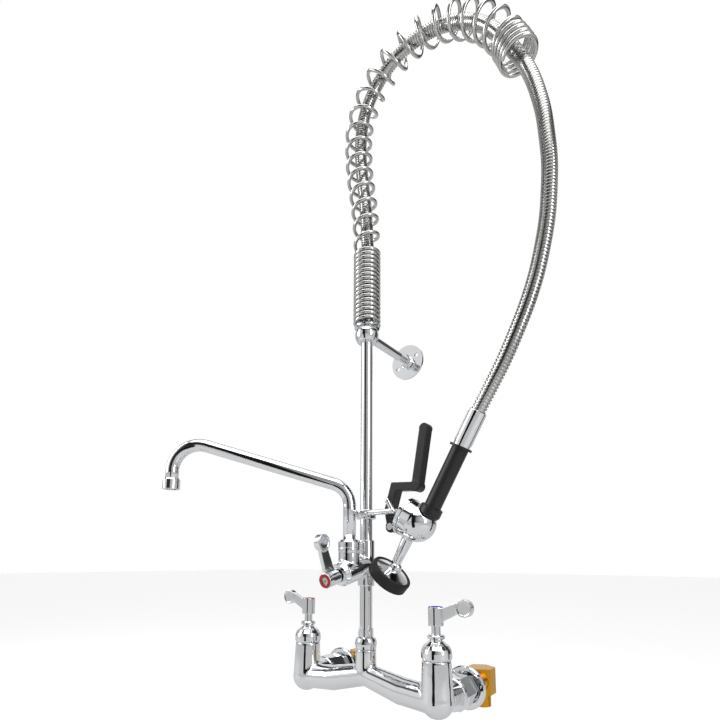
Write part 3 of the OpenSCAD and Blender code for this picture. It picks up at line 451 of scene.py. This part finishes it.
# %% Soft castings
def soft_cast(node, voxel, rounds, body):
    """A copy of a CAD piece as one even skin with soft corners, which stands for that piece."""
    cast = nodes[node].copy()
    cast.data = nodes[node].data.copy()
    cast.name = node + "_cast"
    cast.parent = None
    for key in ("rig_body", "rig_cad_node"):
        if key in cast:
            del cast[key]
    bpy.context.scene.collection.objects.link(cast)
    cast.matrix_world = Matrix.Identity(4)
    only(cast)
    bpy.ops.object.mode_set(mode="EDIT")
    bpy.ops.mesh.select_all(action="SELECT")
    bpy.ops.mesh.remove_doubles(threshold=0.00001)
    bpy.ops.object.mode_set(mode="OBJECT")
    skin = cast.modifiers.new("skin", "REMESH")
    skin.mode = "VOXEL"
    skin.voxel_size = voxel
    soften = cast.modifiers.new("soften", "SMOOTH")
    soften.factor = 0.5
    soften.iterations = rounds
    bpy.ops.object.modifier_apply(modifier="skin")
    bpy.ops.object.modifier_apply(modifier="soften")
    bpy.ops.object.shade_smooth()
    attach(cast, body)
    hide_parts(node)
    print(node, "is now a casting of", len(cast.data.polygons), "faces")
    return cast


castings = [
    soft_cast("base_body", 0.0011, 28, "faucet"),
    soft_cast("addon_body", 0.0008, 6, "faucet"),
    soft_cast("valve_body", 0.0008, 6, "faucet"),
    soft_cast("finger_hook", 0.0006, 6, "faucet"),
    soft_cast("riser_collar", 0.0006, 5, "faucet"),
    soft_cast("hot_lever", 0.0005, 5, "hot_handle"),
    soft_cast("cold_lever", 0.0005, 5, "cold_handle"),
    soft_cast("addon_lever", 0.0005, 5, "addon_handle"),
]
moulded_lever = soft_cast("squeeze_lever", 0.0006, 6, "spray_lever")


# %% [markdown]
# ## Finishes
# Each finish starts from the real material. Polished chrome plate is nearly a mirror, but hands
# and water leave it slightly uneven, so its roughness is broken up by a fine pattern. Rubber and
# plastic have a grain from their mould.

# %% A finish with a fine uneven surface
def finish_of(name, colour, metal, rough, rough_spread, grain_mm, relief, **more):
    """A material with a base colour, a grain of a real size that varies roughness, and a bump."""
    made = bpy.data.materials.new(name)
    made.use_nodes = True
    tree = made.node_tree
    shader = tree.nodes["Principled BSDF"]
    shader.inputs["Base Color"].default_value = hex_colour(colour)
    shader.inputs["Metallic"].default_value = metal
    for socket, value in more.items():
        shader.inputs[socket.replace("_", " ")].default_value = value
    spot = add(tree, "TexCoord")
    grain = add(tree, "TexNoise", {"Vector": spot.outputs["Object"]},
                Scale=1000 / grain_mm, Detail=3.0, Roughness=0.55)
    spread = add(tree, "MapRange", {"Value": grain.outputs["Fac"]})
    spread.inputs["To Min"].default_value = max(0.0, rough - rough_spread)
    spread.inputs["To Max"].default_value = rough + rough_spread
    bump = add(tree, "Bump", {"Height": grain.outputs["Fac"]}, Strength=relief)
    bump.inputs["Distance"].default_value = grain_mm / 4000
    tree.links.new(spread.outputs["Result"], shader.inputs["Roughness"])
    tree.links.new(bump.outputs["Normal"], shader.inputs["Normal"])
    return made


# Chrome over polished brass is close to a mirror, and slow unevenness makes its streaks waver
chrome = finish_of("polished_chrome_plate", "#e6e8ea", 1.0, 0.05, 0.02, 9.0, 0.02)
# Drawn stainless is a little softer and warmer than chrome, with fine die marks
steel = finish_of("stainless_steel", "#c9c9c7", 1.0, 0.16, 0.05, 2.0, 0.05)
# Bare cast brass is a deep yellow, with blurred highlights from its turned and cast skin
brass = finish_of("turned_brass", "#d29a22", 1.0, 0.24, 0.08, 3.0, 0.08)
# Moulded rubber swallows light and has a dull sheen with a fine grain
rubber = finish_of("moulded_rubber", "#151515", 0.0, 0.55, 0.1, 0.8, 0.15,
                   Specular_IOR_Level=0.4)
# Seals are cut from duller rubber, which shows almost no sheen
seal = finish_of("seal_rubber", "#1b1b1b", 0.0, 0.7, 0.1, 0.8, 0.1)
# Glass filled nylon is smoother than rubber, so its edges catch a clearer line of light
plastic = finish_of("black_nylon", "#141416", 0.0, 0.42, 0.08, 0.7, 0.12)
# Coloured acetal is glossy, so the two colours stay deep
red = finish_of("red_acetal", "#a81414", 0.0, 0.3, 0.05, 1.5, 0.03)
blue = finish_of("blue_acetal", "#1c3fae", 0.0, 0.3, 0.05, 1.5, 0.03)
finish_by_slot = {"chrome": chrome, "stainless": steel, "brass": brass, "bumper_rubber": rubber,
                  "seal_rubber": seal, "black_plastic": plastic, "red_plastic": red,
                  "blue_plastic": blue}


# %% Give every piece its finish
def wear(thing, material):
    """Gives a piece one material only."""
    thing.data.materials.clear()
    thing.data.materials.append(material)


slot_of = {part["node"]: part["material_slot"] for part in frame["record"]["subparts"]}
for name, thing in nodes.items():
    wear(thing, finish_by_slot[slot_of[name]])
for thing in castings + [spout]:
    wear(thing, chrome)
for thing in (hose, spring):
    wear(thing, steel)
wear(moulded_lever, plastic)
print("finishes on", len(nodes), "pieces")
